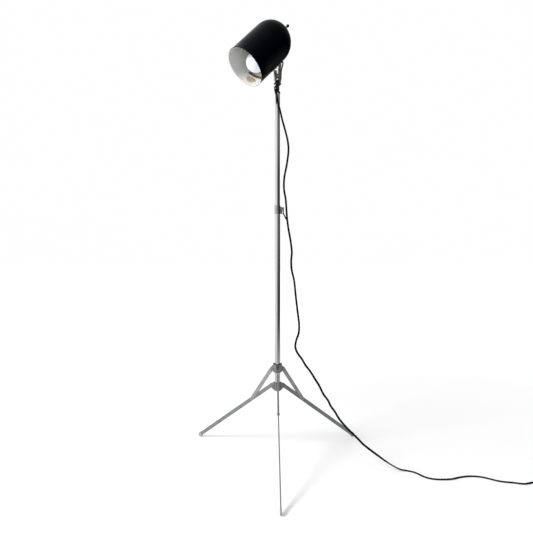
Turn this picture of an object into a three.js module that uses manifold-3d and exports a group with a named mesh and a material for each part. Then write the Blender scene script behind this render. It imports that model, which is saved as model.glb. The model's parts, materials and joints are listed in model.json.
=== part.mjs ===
// Floor lamp on a folding tripod: a telescopic mast, a spring clamp head and a
// deep cylindrical shade. Millimetres, +Z up, front towards -Y.
import * as THREE from 'three';
import { mergeVertices } from 'three/addons/utils/BufferGeometryUtils.js';
import Module from 'manifold-3d';

const wasm = await Module();
wasm.setup();

// ---------------------------------------------------------------- dimensions
const GAP = 0.3;                 // clearance between touching pieces
const MAST_Y = 88.37;            // mast axis, behind the centre of the footprint

// tripod
const LEG_AZIMUTHS = { front: -90, right: 30, left: 150 };
const HUB_PIVOT = { r: 24, z: 252 };
const LEG_DROP = 36.7;           // degrees below horizontal
const LEG_LENGTH = 407.5;        // pivot to end centre
const LEG_TALL = 13.4;
const LEG_WIDE = 3.5;
const LEG_WALL = 0.8;
const BRACE_AT = 105;            // rivet's distance along the leg
const COLLAR_PIVOT = { r: 22.5, z: 313 };
const BRACE_TALL = 12.5;
const BRACE_INNER = 4.1;
const BRACE_WALL = 0.9;
const BRACE_WEB_START = 40;      // web cut back where the leg folds in
const BRACE_WEB_END = 16;        // web cut back at the collar
const PIN_R = 1.7;
const HOLE_R = 2.0;
const COLLAR_PIN_R = 1.6;
const COLLAR_HOLE_R = 1.95;
const EAR_WALL = 1.2;

// mast
const LOWER_R = 9.5;
const LOWER_BORE_R = 9.05;
const LOWER_Z = [237, 885];
const UPPER_R = 8.75;
const UPPER_BORE_R = 8.0;
const UPPER_Z = [650, 1298];
const STUD_R = 6.75;
const STUD_TOP = 1345;
const RING_R = 10.2;
const SLEEVE_R = [9.8, 11.2];    // hub and collar sleeves
const HUB_Z = [236, 266];
const COLLAR_Z = [300, 330];
const LOCK_Z = [867, 897];
const LOCK_R = 10.5;
const LOCK_RIVET = { x: 13.9, z: 887 };

// head: a vertical plane through the mast holds the shade's axis
const HEAD_AZIMUTH = 25.85;
const SHADE_RISE = 47.34;        // shade axis above horizontal
const DOME_CENTRE = { x: -27.4, z: 1472.08 };
const SHADE_R = 72.4;
const SHADE_WALL = 1.0;
const SHADE_LENGTH = 146;        // rim to dome centre
const BEAD_R = 0.9;
const TILT_PIN = { r: 76.15, s: -27.45 };  // from the dome centre, in the shade's frame
const TILT_AT = { x: 10.0, z: 1400.3 };
const GROMMET_S = -10;
const CLAMP_PIN = { x: -0.5, z: 1362 };
const JAW_X = 9.9;
const JAW_Z = 1332;
const JAW_R = 2.75;

// lamp
const BULB_CENTRE = { x: 12, z: -99 };     // in the shade's frame
const BULB_R = 34;
const SWITCH_ANGLE = 39.6;       // off the apex, towards the front
const SWITCH_TILT = 12;          // lever, back towards the apex
const SWITCH_PIVOT = 69;         // from the dome centre
const KNOB_R = 5.25;
const KNOB_REACH = 10.5;

// cord
const CORD_R = 2.1;

// ------------------------------------------------------------------- helpers
const rad = THREE.MathUtils.degToRad;
const V2 = (x, y) => new THREE.Vector2(x, y);
const V3 = (x, y, z) => new THREE.Vector3(x, y, z);

function solid(geometry) {
  const g = geometry.clone();
  g.deleteAttribute('normal');
  g.deleteAttribute('uv');
  const m = mergeVertices(g, 1e-4);
  return new wasm.Manifold(new wasm.Mesh({
    numProp: 3,
    vertProperties: new Float32Array(m.attributes.position.array),
    triVerts: new Uint32Array(m.index.array),
  }));
}

const join = (...parts) => parts.reduce((a, b) => a.add(b));
const cut = (body, ...tools) => tools.reduce((a, b) => a.subtract(b), body);

// profile in the frame's local XY, from local z0 to z1
function plate(shape, z0, z1, frame = new THREE.Matrix4(), curveSegments = 6) {
  const g = new THREE.ExtrudeGeometry(shape, { depth: z1 - z0, bevelEnabled: false, curveSegments });
  g.translate(0, 0, z0);
  return solid(g.applyMatrix4(frame));
}

function polygon(...points) {
  return new THREE.Shape(points.map(([x, y]) => V2(x, y)));
}

function disc(x, y, r) {
  const s = new THREE.Shape();
  s.absarc(x, y, r, 0, 2 * Math.PI, false);
  return s;
}

function stadium(x0, y0, x1, y1, r) {
  const a = Math.atan2(y1 - y0, x1 - x0);
  const s = new THREE.Shape();
  s.absarc(x0, y0, r, a + Math.PI / 2, a + 1.5 * Math.PI, false);
  s.absarc(x1, y1, r, a - Math.PI / 2, a + Math.PI / 2, false);
  s.closePath();
  return s;
}

// convex outline around points and circles
function hull(points, circles = []) {
  const all = points.map(([x, y]) => [x, y]);
  for (const [x, y, r] of circles) {
    for (let i = 0; i < 14; i++) {
      all.push([x + r * Math.cos(i * Math.PI / 7), y + r * Math.sin(i * Math.PI / 7)]);
    }
  }
  all.sort((a, b) => a[0] - b[0] || a[1] - b[1]);
  const turn = (o, a, b) => (a[0] - o[0]) * (b[1] - o[1]) - (a[1] - o[1]) * (b[0] - o[0]);
  const half = (list) => {
    const out = [];
    for (const p of list) {
      while (out.length > 1 && turn(out.at(-2), out.at(-1), p) <= 1e-6) out.pop();
      out.push(p);
    }
    return out.slice(0, -1);
  };
  return polygon(...half(all), ...half([...all].reverse()));
}

function box(x0, x1, y0, y1, z0, z1, frame = new THREE.Matrix4()) {
  const g = new THREE.BoxGeometry(x1 - x0, y1 - y0, z1 - z0);
  g.translate((x0 + x1) / 2, (y0 + y1) / 2, (z0 + z1) / 2);
  return solid(g.applyMatrix4(frame));
}

// turned piece about the frame's local Z; profile is [radius, height] going up its outside
function turned(profile, frame = new THREE.Matrix4(), segments = 32) {
  const points = profile.map(([r, z]) => V2(r, z));
  if (profile[0][0] > 0) points.push(points[0].clone());
  const g = new THREE.LatheGeometry(points, segments);
  g.rotateX(Math.PI / 2);
  return solid(g.applyMatrix4(frame));
}

const rod = (r, z0, z1, frame, segments = 20) =>
  turned([[0, z0], [r, z0], [r, z1], [0, z1]], frame, segments);

const ring = (r0, r1, z0, z1, frame, segments = 28) =>
  turned([[r0, z0], [r1, z0], [r1, z1], [r0, z1]], frame, segments);

// rivet along local Z with a head at each end
const rivet = (shank, head, grip, end, frame) =>
  turned([[0, -end], [head * 0.7, -end], [head, -end + 0.5], [head, -grip], [shank, -grip],
    [shank, grip], [head, grip], [head, end - 0.5], [head * 0.7, end], [0, end]], frame, 10);

function basis(x, y, z, at = V3(0, 0, 0)) {
  return new THREE.Matrix4().makeBasis(x, y, z).setPosition(at);
}

// local Z along a direction from a point
function along(at, direction) {
  const q = new THREE.Quaternion().setFromUnitVectors(V3(0, 0, 1), direction.clone().normalize());
  return new THREE.Matrix4().makeRotationFromQuaternion(q).setPosition(at);
}

const group = new THREE.Group();

function emit(name, body, material) {
  const mesh = body.getMesh();
  const g = new THREE.BufferGeometry();
  g.setAttribute('position', new THREE.BufferAttribute(new Float32Array(mesh.vertProperties), 3));
  g.setIndex(new THREE.BufferAttribute(new Uint32Array(mesh.triVerts), 1));
  g.translate(0, MAST_Y, 0);
  g.computeVertexNormals();
  const node = new THREE.Mesh(g, material());
  node.name = name;
  group.add(node);
}

const finish = (color, metalness, roughness) =>
  () => new THREE.MeshStandardMaterial({ color, metalness, roughness });
const CHROME = finish(0xc9cacb, 1, 0.12);
const ZINC = finish(0xb2b4b6, 0.9, 0.38);
const STEEL = finish(0xa8aaad, 0.9, 0.3);
const DARK_STEEL = finish(0x3a3734, 0.7, 0.45);
const BLACK_PLASTIC = finish(0x131316, 0, 0.35);
const BLACK_RUBBER = finish(0x1c1b1a, 0, 0.8);
const GREY_RUBBER = finish(0x9a9b98, 0, 0.6);
const NYLON = finish(0xd8d5cc, 0, 0.5);
const BLACK_ENAMEL = finish(0x08090c, 0, 0.06);
const GLASS = finish(0xe9edf8, 0, 0.3);
const BRASS = finish(0x8f7c55, 0.9, 0.35);
const COPPER = finish(0xbca58e, 0.6, 0.4);
const CORD = finish(0x111112, 0, 0.5);

// -------------------------------------------------------------------- frames
const legFrame = (azimuth) => {
  const c = Math.cos(rad(azimuth));
  const s = Math.sin(rad(azimuth));
  return basis(V3(c, s, 0), V3(0, 0, 1), V3(s, -c, 0));
};
const headX = V3(Math.cos(rad(HEAD_AZIMUTH)), Math.sin(rad(HEAD_AZIMUTH)), 0);
const headY = V3(-Math.sin(rad(HEAD_AZIMUTH)), Math.cos(rad(HEAD_AZIMUTH)), 0);
const up = V3(0, 0, 1);
const headPlane = basis(headX, up, headY.clone().negate());
const rise = rad(SHADE_RISE);
const shadeAxis = headX.clone().multiplyScalar(Math.cos(rise)).addScaledVector(up, Math.sin(rise));
const shadeDown = headX.clone().multiplyScalar(Math.sin(rise)).addScaledVector(up, -Math.cos(rise));
const domeCentre = headX.clone().multiplyScalar(DOME_CENTRE.x).addScaledVector(up, DOME_CENTRE.z);
const shadeFrame = basis(shadeDown, headY, shadeAxis, domeCentre);
const inShade = (x, y, z) => V3(x, y, z).applyMatrix4(shadeFrame);
const turnInShade = (x, y, z) => inShade(x, y, z).sub(domeCentre);

// -------------------------------------------------------------------- tripod
// three-pointed star of sheet around a sleeve: concave webs that end as fork ears
function star(sleeveZ, pivot, halfGap, webCentre, tipR, neck) {
  const outer = halfGap + EAR_WALL;
  const webR = webCentre * Math.cos(rad(30)) - outer;
  const startR = webCentre / 2;
  let body = ring(SLEEVE_R[0] - 1, SLEEVE_R[1], sleeveZ[0], sleeveZ[1], undefined, 28);
  const outline = (shrink) => {
    const shape = new THREE.Shape();
    Object.values(LEG_AZIMUTHS).sort((a, b) => a - b).forEach((azimuth, i) => {
      const c = Math.cos(rad(azimuth));
      const s = Math.sin(rad(azimuth));
      const tip = outer - shrink;
      for (const [r, t] of [[startR, -tip], [60, -tip], [60, tip], [startR, tip]]) {
        const p = [r * c - t * s, r * s + t * c];
        if (i === 0 && r === startR && t < 0) shape.moveTo(...p);
        else shape.lineTo(...p);
      }
      const cx = webCentre * Math.cos(rad(azimuth + 60));
      const cy = webCentre * Math.sin(rad(azimuth + 60));
      const a0 = azimuth + 270;
      for (let k = 1; k < 4; k++) {
        const a = rad(a0 - k * 15);
        shape.lineTo(cx + (webR + shrink) * Math.cos(a), cy + (webR + shrink) * Math.sin(a));
      }
    });
    shape.closePath();
    return shape;
  };
  let walls = cut(plate(outline(0), sleeveZ[0] + 1, sleeveZ[1] - 1),
    plate(outline(EAR_WALL), sleeveZ[0], sleeveZ[1]));
  let keep = null;
  for (const azimuth of Object.values(LEG_AZIMUTHS)) {
    const side = plate(hull([[0, sleeveZ[0] + 1], [0, sleeveZ[1] - 1], [neck, sleeveZ[0] + 1],
      [neck, sleeveZ[1] - 1]], [[pivot.r, pivot.z, tipR]]), -60, 60, legFrame(azimuth));
    keep = keep ? keep.add(side) : side;
  }
  body = join(body, walls.intersect(keep));
  return cut(body, rod(SLEEVE_R[0], sleeveZ[0] - 5, sleeveZ[1] + 5, undefined, 28));
}

function pinHoles(body, pivot, r) {
  for (const azimuth of Object.values(LEG_AZIMUTHS)) {
    body = cut(body, plate(disc(pivot.r, pivot.z, r), -20, 20, legFrame(azimuth), 10));
  }
  return body;
}

emit('leg_hub', pinHoles(star(HUB_Z, HUB_PIVOT, BRACE_INNER / 2, 48, 7.2, 14), HUB_PIVOT, HOLE_R), STEEL);
emit('brace_collar', pinHoles(star(COLLAR_Z, COLLAR_PIVOT, 3.25, 44, 4.8, 13), COLLAR_PIVOT,
  COLLAR_HOLE_R), STEEL);

const drop = rad(-LEG_DROP);
const legEnd = {
  r: HUB_PIVOT.r + LEG_LENGTH * Math.cos(drop),
  z: HUB_PIVOT.z + LEG_LENGTH * Math.sin(drop),
};
const bracePivot = {
  r: HUB_PIVOT.r + BRACE_AT * Math.cos(drop),
  z: HUB_PIVOT.z + BRACE_AT * Math.sin(drop),
};
const braceRise = Math.atan2(COLLAR_PIVOT.z - bracePivot.z, COLLAR_PIVOT.r - bracePivot.r);
const braceLength = Math.hypot(COLLAR_PIVOT.z - bracePivot.z, COLLAR_PIVOT.r - bracePivot.r);

for (const [side, azimuth] of Object.entries(LEG_AZIMUTHS)) {
  const plane = legFrame(azimuth);
  const leg = plane.clone()
    .multiply(new THREE.Matrix4().makeTranslation(HUB_PIVOT.r, HUB_PIVOT.z, 0))
    .multiply(new THREE.Matrix4().makeRotationZ(drop));
  const brace = plane.clone()
    .multiply(new THREE.Matrix4().makeTranslation(bracePivot.r, bracePivot.z, 0))
    .multiply(new THREE.Matrix4().makeRotationZ(braceRise));

  // leg: sheet folded over, closed along the top, open underneath
  const half = LEG_TALL / 2;
  const inner = half - LEG_WALL;
  const slot = LEG_WIDE / 2 - LEG_WALL;
  emit(`leg_${side}`, cut(
    plate(stadium(0, 0, LEG_LENGTH, 0, half), -LEG_WIDE / 2, LEG_WIDE / 2, leg),
    join(plate(stadium(0, 0, LEG_LENGTH, 0, inner), -slot, slot, leg),
      box(0, LEG_LENGTH, -half - 1, 0, -slot, slot, leg)),
    plate(disc(0, 0, HOLE_R), -5, 5, leg, 10),
    plate(disc(BRACE_AT, 0, HOLE_R), -5, 5, leg, 10),
  ), ZINC);

  // rubber boot with a flat sole
  const bootR = half + 1.1;
  const boot = join(
    plate(stadium(LEG_LENGTH - 9, 0, LEG_LENGTH, 0, bootR), -2.9, 2.9, leg),
    plate(polygon([legEnd.r - 5, 0], [legEnd.r + 3, 0], [legEnd.r + bootR - 0.8, legEnd.z - 3],
      [legEnd.r - 5, legEnd.z + 3]), -2.9, 2.9, plane),
  );
  emit(`foot_tip_${side}`, cut(boot,
    plate(stadium(LEG_LENGTH - 40, 0, LEG_LENGTH, 0, half + GAP), -LEG_WIDE / 2 - GAP, LEG_WIDE / 2 + GAP, leg),
    box(legEnd.r - 60, legEnd.r + 60, -20, 0, -20, 20, plane),
    box(LEG_LENGTH - 60, LEG_LENGTH - 8, -20, 30, -20, 20, leg),
  ), GREY_RUBBER);

  // brace: channel that straddles the leg, web towards the mast
  const low = BRACE_TALL / 2;
  const gapHalf = BRACE_INNER / 2;
  emit(`brace_${side}`, cut(
    plate(stadium(0, 0, braceLength, 0, low), -gapHalf - BRACE_WALL, gapHalf + BRACE_WALL, brace),
    box(-20, braceLength + 20, -20, low - BRACE_WALL, -gapHalf, gapHalf, brace),
    box(-20, BRACE_WEB_START, -20, 20, -gapHalf, gapHalf, brace),
    box(braceLength - BRACE_WEB_END, braceLength + 20, -20, 20, -gapHalf, gapHalf, brace),
    plate(disc(0, 0, HOLE_R), -5, 5, brace, 10),
    plate(disc(braceLength, 0, COLLAR_HOLE_R), -5, 5, brace, 10),
    plate(polygon([braceLength + 1.77, -0.8], [braceLength + 9, 15], [braceLength - 16, 10.6],
      [braceLength - 1.23, -1.52]), -5, 5, brace),
  ), STEEL);

  const at = (p) => plane.clone().multiply(new THREE.Matrix4().makeTranslation(p.r, p.z, 0));
  emit(`leg_pin_${side}`, rivet(PIN_R, 3.1, 3.95, 5.2, at(HUB_PIVOT)), STEEL);
  emit(`brace_rivet_${side}`, rivet(PIN_R, 3.0, gapHalf + BRACE_WALL + GAP, 4.6, at(bracePivot)), STEEL);
  emit(`collar_pin_${side}`, rivet(COLLAR_PIN_R, 2.7, 3.25 + EAR_WALL + GAP, 5.9, at(COLLAR_PIVOT)), STEEL);
}

// pinch clip that locks the collar: a flat plate with two finger tabs
{
  const top = COLLAR_Z[1] + GAP;
  const outline = polygon([-15.5, -5], [-11, -11.3], [11, -11.3], [15.5, -5], [15.5, 5], [11, 11.3],
    [-11, 11.3], [-15.5, 5]);
  emit('collar_lock_clip', cut(join(
    plate(outline, top, top + 1.2),
    box(14.3, 15.5, -4.6, 4.6, top, top + 5),
    box(-15.5, -14.3, -4.6, 4.6, top, top + 5),
  ), rod(SLEEVE_R[0], top - 5, top + 10, undefined, 28)), DARK_STEEL);
}

// ---------------------------------------------------------------------- mast
const lowerPlane = basis(V3(1, 0, 0), up, V3(0, -1, 0));
emit('lower_tube', ring(LOWER_BORE_R, LOWER_R, ...LOWER_Z, undefined, 32), CHROME);
emit('tube_end_plug', turned([[0, 236.4], [6, 236.4], [LOWER_BORE_R - GAP, 237.6],
  [LOWER_BORE_R - GAP, 249], [0, 249]]), BLACK_PLASTIC);
emit('upper_tube', ring(UPPER_BORE_R, UPPER_R, ...UPPER_Z, undefined, 32), CHROME);
emit('guide_bush', turned([[0, 646.5], [UPPER_R, 646.5], [UPPER_R, UPPER_Z[0] - GAP],
  [UPPER_BORE_R - GAP, UPPER_Z[0] - GAP], [UPPER_BORE_R - GAP, 664], [0, 664]]), NYLON);
emit('top_stud', turned([[0, 1284], [UPPER_BORE_R - GAP, 1284], [UPPER_BORE_R - GAP, UPPER_Z[1] + GAP],
  [RING_R - 0.5, UPPER_Z[1] + GAP], [RING_R, UPPER_Z[1] + 0.9], [RING_R, 1302.5], [RING_R - 0.5, 1303],
  [STUD_R, 1303], [STUD_R, STUD_TOP - 1], [STUD_R - 1, STUD_TOP], [0, STUD_TOP]], undefined, 28), DARK_STEEL);

// clamping band at the top of the lower tube, split between two lug plates
{
  const { x, z } = LOCK_RIVET;
  const lugs = (y0, y1) => plate(hull([[LOWER_R, 869], [LOWER_R, 893]], [[x, z, 5], [15.4, 868.2, 2]]),
    y0, y1, lowerPlane);
  emit('lock_collar', cut(
    join(
      ring(SLEEVE_R[0], LOCK_R, LOCK_Z[0], LOWER_Z[1] + GAP, undefined, 28),
      ring(UPPER_R + GAP, LOCK_R, LOWER_Z[1] + GAP, LOCK_Z[1], undefined, 28),
      lugs(2, 3.2), lugs(-3.2, -2),
    ),
    box(0, 30, -2, 2, 860, 900),
    rod(SLEEVE_R[0], 860, LOWER_Z[1] + GAP, undefined, 28),
    rod(UPPER_R + GAP, 860, 900, undefined, 28),
    plate(disc(x, z, 1.8), -10, 10, lowerPlane, 10),
  ), STEEL);
  const pin = lowerPlane.clone().multiply(new THREE.Matrix4().makeTranslation(x, z, 0));
  emit('lock_rivet', rivet(1.5, 2.6, 3.5, 4.6, pin), STEEL);
  emit('lock_lever', cut(
    join(
      plate(polygon([19.3, 890.5], [19.3, 867], [29.2, 847], [30.4, 846.4], [32.6, 847.5], [33, 849],
        [22.6, 870], [22.6, 889.5], [21.6, 890.5]), -4.4, 4.4, lowerPlane),
      plate(hull([[20, z - 3.4], [20, z + 2.8]], [[x, z, 4]]), -1.7, 1.7, lowerPlane),
    ),
    plate(disc(x, z, 1.8), -10, 10, lowerPlane, 10),
  ), BLACK_PLASTIC);
}

// ---------------------------------------------------------------------- head
// fixed half of the clamp: a channel from the tilt pin down to its jaw
{
  const flange = (y0, y1) => join(
    plate(hull([[4.8, 1386], [10.4, 1386]], [[TILT_AT.x, TILT_AT.z, 3.3]]), y0, y1, headPlane),
    plate(polygon([4.8, 1387], [4.8, 1347.5], [5.8, 1346.5], [5.8, 1337], [10.4, 1337], [10.4, 1387]), y0, y1, headPlane),
    plate(hull([[6, 1354], [6, 1371]], [[CLAMP_PIN.x, CLAMP_PIN.z, 4.2]]), y0, y1, headPlane),
  );
  emit('clamp_arm', cut(
    join(flange(4.5, 5.5), flange(-5.5, -4.5),
      plate(polygon([9.4, 1331], [10.4, 1331], [10.4, 1392.4], [9.4, 1392.4]), -5.5, 5.5, headPlane)),
    plate(disc(TILT_AT.x, TILT_AT.z, 1.8), -10, 10, headPlane, 10),
    plate(disc(CLAMP_PIN.x, CLAMP_PIN.z, HOLE_R), -10, 10, headPlane, 10),
  ), STEEL);

  const cheek = (y0, y1) => join(
    plate(polygon([-12.9, 1378], [-5.2, 1378], [-3.8, 1369], [1, 1364], [-2.4, 1347.6], [-7.2, 1346.2],
      [-7.6, 1339.5], [-12.2, 1339.5]), y0, y1, headPlane),
    plate(disc(CLAMP_PIN.x, CLAMP_PIN.z, 3.9), y0, y1, headPlane, 20),
  );
  emit('clamp_handle', cut(
    join(cheek(3.2, 4.2), cheek(-4.2, -3.2),
      plate(polygon([-13.3, 1378], [-12.7, 1340.2], [-10.4, 1336.4], [-10.4, 1331], [-9.4, 1331],
        [-9.4, 1336.6], [-11.7, 1340.5], [-12.3, 1378]), -4.2, 4.2, headPlane)),
    plate(disc(CLAMP_PIN.x, CLAMP_PIN.z, HOLE_R), -10, 10, headPlane, 10),
  ), STEEL);

  for (const [name, x] of [['arm_jaw_tip', JAW_X], ['handle_jaw_tip', -JAW_X]]) {
    const tip = headPlane.clone().multiply(new THREE.Matrix4().makeTranslation(x, JAW_Z, 0));
    emit(name, cut(
      turned([[0, -6.8], [JAW_R - 0.5, -6.8], [JAW_R, -6.3], [JAW_R, 6.3], [JAW_R - 0.5, 6.8], [0, 6.8]], tip, 24),
      box(-0.8, 0.8, -1.3, 6, -5.8, 5.8, tip),
    ), BLACK_RUBBER);
  }

  const pinAt = headPlane.clone().multiply(new THREE.Matrix4().makeTranslation(CLAMP_PIN.x, CLAMP_PIN.z, 0));
  emit('clamp_pin', rivet(PIN_R, 3.0, 5.8, 7.2, pinAt), STEEL);
  const tiltPin = headPlane.clone().multiply(new THREE.Matrix4().makeTranslation(TILT_AT.x, TILT_AT.z, 0));
  emit('tilt_rivet', rivet(1.5, 2.7, 5.8, 7.4, tiltPin), STEEL);

  // torsion spring: coil around the pin, a leg against each half
  const coilR = 2.7;
  const wireR = 0.55;
  const turns = 2.5;
  const pitch = 1.5;
  const points = [V3(8.7, 13, -turns * pitch / 2 - 0.2), V3(5.6, 6, -turns * pitch / 2 - 0.1)];
  for (let i = 0; i <= 40; i++) {
    const a = -0.35 - (i / 40) * 2 * Math.PI * turns;
    points.push(V3(coilR * Math.cos(a), coilR * Math.sin(a), (i / 40 - 0.5) * turns * pitch));
  }
  points.push(V3(-5.2, 6, turns * pitch / 2 + 0.1), V3(-10.6, 13, turns * pitch / 2 + 0.2));
  const wire = new THREE.ExtrudeGeometry(disc(0, 0, wireR), {
    steps: 60, bevelEnabled: false, curveSegments: 3, extrudePath: new THREE.CatmullRomCurve3(points),
  });
  emit('clamp_spring', solid(wire.applyMatrix4(pinAt)), DARK_STEEL);
}

// curved strip under the shade with two ears for the tilt pin
{
  const inner = SHADE_R + GAP;
  const outer = inner + 1;
  const span = Math.asin(4.15 / outer);
  const band = new THREE.Shape();
  band.absarc(0, 0, outer, -span, span, false);
  band.absarc(0, 0, inner, span, -span, true);
  const edge = basis(shadeDown, shadeAxis, headY.clone().negate(), domeCentre);
  const ear = (y0, y1) => plate(hull([[inner + 0.4, TILT_PIN.s - 6], [inner + 0.4, TILT_PIN.s + 6]],
    [[TILT_PIN.r, TILT_PIN.s, 3.3]]), y0, y1, edge);
  const screws = [-19.5, -47];
  let strip = join(plate(band, -70, -15, shadeFrame, 6), ear(3.15, 4.15), ear(-4.15, -3.15));
  strip = cut(strip, plate(disc(TILT_PIN.r, TILT_PIN.s, 1.8), -10, 10, edge, 10));
  for (const s of screws) strip = cut(strip, rod(1.7, SHADE_R - 5, outer + 5, along(inShade(0, 0, s), shadeDown)));
  emit('shade_bracket', strip, STEEL);
  screws.forEach((s, i) => {
    emit(`bracket_screw_${i + 1}`, turned([[0, 67.5], [1.0, 67.5], [1.4, 68], [1.4, outer + GAP],
      [2.7, outer + GAP], [2.5, outer + 1], [1.4, outer + 1.7], [0, outer + 1.8]],
    along(inShade(0, 0, s), shadeDown), 12), STEEL);
  });
}

// shade: cylinder closed by a half sphere, with a rolled rim
const bulbAxis = inShade(BULB_CENTRE.x, 0, BULB_CENTRE.z).sub(inShade(0, 0, SHADE_R)).normalize();
const bulbFrame = along(inShade(0, 0, SHADE_R), bulbAxis);
const switchDir = (angle) => turnInShade(0, -Math.sin(rad(angle)), Math.cos(rad(angle)));
const switchFrame = along(domeCentre, switchDir(SWITCH_ANGLE));
{
  const profile = [];
  const steps = 8;
  for (let i = 0; i <= steps; i++) {
    const a = (i / steps) * Math.PI / 2;
    profile.push([(SHADE_R - SHADE_WALL) * Math.sin(a), (SHADE_R - SHADE_WALL) * Math.cos(a)]);
  }
  const rim = -SHADE_LENGTH;
  const inside = SHADE_R - SHADE_WALL;
  profile.push([inside, rim + 2 * BEAD_R], [inside - 0.3, rim + BEAD_R], [inside, rim + 0.2],
    [inside + 0.6, rim], [SHADE_R + 0.2, rim + 0.2], [SHADE_R + 0.6, rim + BEAD_R], [SHADE_R, rim + 2 * BEAD_R]);
  for (let i = steps; i >= 0; i--) {
    const a = (i / steps) * Math.PI / 2;
    profile.push([SHADE_R * Math.sin(a), SHADE_R * Math.cos(a)]);
  }
  const g = new THREE.LatheGeometry(profile.map(([r, z]) => V2(Math.max(r, 0), z)), 44);
  g.rotateX(Math.PI / 2);
  let shade = solid(g.applyMatrix4(shadeFrame));
  shade = cut(shade,
    rod(5.1, -6, 6, bulbFrame, 24),
    rod(3.5, 66, 80, switchFrame, 14),
    rod(3.3, 60, 80, along(inShade(0, 0, GROMMET_S), shadeDown), 14));
  for (const s of [-19.5, -47]) shade = cut(shade, rod(1.7, 60, 80, along(inShade(0, 0, s), shadeDown)));
  emit('shade', shade, BLACK_ENAMEL);
}
emit('cord_grommet', turned([[2.45, SHADE_R - 2.4], [4.2, SHADE_R - 2.4], [4.2, SHADE_R - SHADE_WALL - GAP - 0.05],
  [3.0, SHADE_R - SHADE_WALL - GAP - 0.05], [3.0, SHADE_R + GAP], [4.5, SHADE_R + GAP], [4.3, SHADE_R + 1.6],
  [3.4, SHADE_R + 2.2], [2.45, SHADE_R + 2.2]], along(inShade(0, 0, GROMMET_S), shadeDown), 14), BLACK_RUBBER);

// lampholder: threaded nipple through the apex, socket and a globe bulb
emit('socket_nipple', ring(3.4, 4.8, -1.5, 57.7, bulbFrame, 14), BRASS);
emit('apex_nut', turned([[0, -2.4], [5.6, -2.4], [7.4, -1.4], [7.4, -GAP - 0.35], [5.1, -GAP - 0.35], [5.1, -1.8],
  [0, -1.8]], bulbFrame, 24), BLACK_PLASTIC);
emit('socket_body', turned([[0, 58], [12, 58], [17, 63], [19.5, 74], [20, 92], [20, 120], [13.7, 120], [13.7, 95],
  [0, 95]], bulbFrame, 24), BLACK_PLASTIC);
emit('bulb_base', turned([[0, 95.4], [4, 95.4], [5, 97.4], [11.5, 99], [13.2, 101], [13.2, 117.5], [0, 117.5]],
  bulbFrame, 24), STEEL);
{
  const start = 118;
  const centre = 171.4;
  const profile = [[0, start], [12.6, start], [13.4, start + 3], [15.6, 127], [19, 132.5], [23, 138]];
  for (let i = 0; i <= 9; i++) {
    const a = rad(38 + (i / 9) * 142);
    profile.push([i < 9 ? BULB_R * Math.sin(a) * (i ? 1 : 1.22) : 0, centre - BULB_R * Math.cos(a)]);
  }
  emit('bulb_glass', turned(profile, bulbFrame, 28), GLASS);
}

// toggle switch on the front of the dome
{
  const top = SHADE_R + GAP;
  emit('switch_body', cut(
    turned([[0, 46], [9.6, 46], [10, 46.6], [10, 63.2], [3.15, 63.2], [3.15, top + 1.4], [0, top + 1.4]],
      switchFrame, 20),
    turned([[0, SWITCH_PIVOT - 1.6], [1.55, SWITCH_PIVOT - 1.6], [1.55, SWITCH_PIVOT + 0.2], [2.65, 80], [0, 80]],
      switchFrame, 14)), BLACK_PLASTIC);
  emit('switch_nut', cut(rod(5, top, top + 0.9, switchFrame, 6), rod(3.5, top - 1, top + 2, switchFrame, 14)), CHROME);
  const pivot = inShade(...[0, -Math.sin(rad(SWITCH_ANGLE)) * SWITCH_PIVOT, Math.cos(rad(SWITCH_ANGLE)) * SWITCH_PIVOT]);
  const lever = along(pivot, switchDir(SWITCH_ANGLE - SWITCH_TILT));
  emit('switch_stem', turned([[0, -1.2], [0.85, -0.85], [1.2, 0], [0.9, 0.8], [0.9, 5.1], [0.9, 8.4], [0, 8.4]], lever, 10), CHROME);
  const knob = [];
  for (let i = 0; i <= 8; i++) {
    const a = (i / 8) * Math.PI;
    knob.push([KNOB_R * Math.sin(a), KNOB_REACH - KNOB_R * Math.cos(a)]);
  }
  knob[0][0] = 0;
  knob[8][0] = 0;
  emit('switch_knob', cut(turned(knob, lever, 16), rod(1.2, 0, 8.7, lever)), BLACK_PLASTIC);
}

// blank label and foil strip on the inner wall, seen through the mouth
{
  const wall = SHADE_R - SHADE_WALL - GAP;
  const patch = (a0, a1, s0, s1) => {
    const shape = new THREE.Shape();
    shape.absarc(0, 0, wall, rad(a0), rad(a1), false);
    shape.absarc(0, 0, wall - 0.4, rad(a1), rad(a0), true);
    return plate(shape, s0, s1, shadeFrame, 8);
  };
  const rim = -SHADE_LENGTH;
  const labelAt = 54;
  const around = turnInShade(-Math.sin(rad(labelAt)), Math.cos(rad(labelAt)), 0);
  const outwards = turnInShade(Math.cos(rad(labelAt)), Math.sin(rad(labelAt)), 0);
  const oval = new THREE.Shape();
  oval.absellipse(0, 0, 18.5, 12, 0, 2 * Math.PI, false, 0);
  emit('shade_label', patch(35, 73, rim + 10, rim + 40).intersect(plate(oval, 50, 80,
    basis(around, shadeAxis, outwards.clone(), inShade(0, 0, rim + 24.9)), 16)), COPPER);
  emit('rating_strip', patch(20, 75, rim + 42.5, rim + 55), BRASS);
}

// ---------------------------------------------------------------------- cord
function tube(points, steps) {
  const section = new THREE.Shape();
  for (let i = 0; i < 8; i++) {
    const a = (i + 0.5) * Math.PI / 4;
    const p = [CORD_R * Math.cos(a), CORD_R * Math.sin(a)];
    if (i) section.lineTo(...p);
    else section.moveTo(...p);
  }
  const path = new THREE.CatmullRomCurve3(points.map((p) => V3(...p)), false, 'centripetal');
  return solid(new THREE.ExtrudeGeometry(section, { steps, bevelEnabled: false, extrudePath: path }));
}

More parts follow.
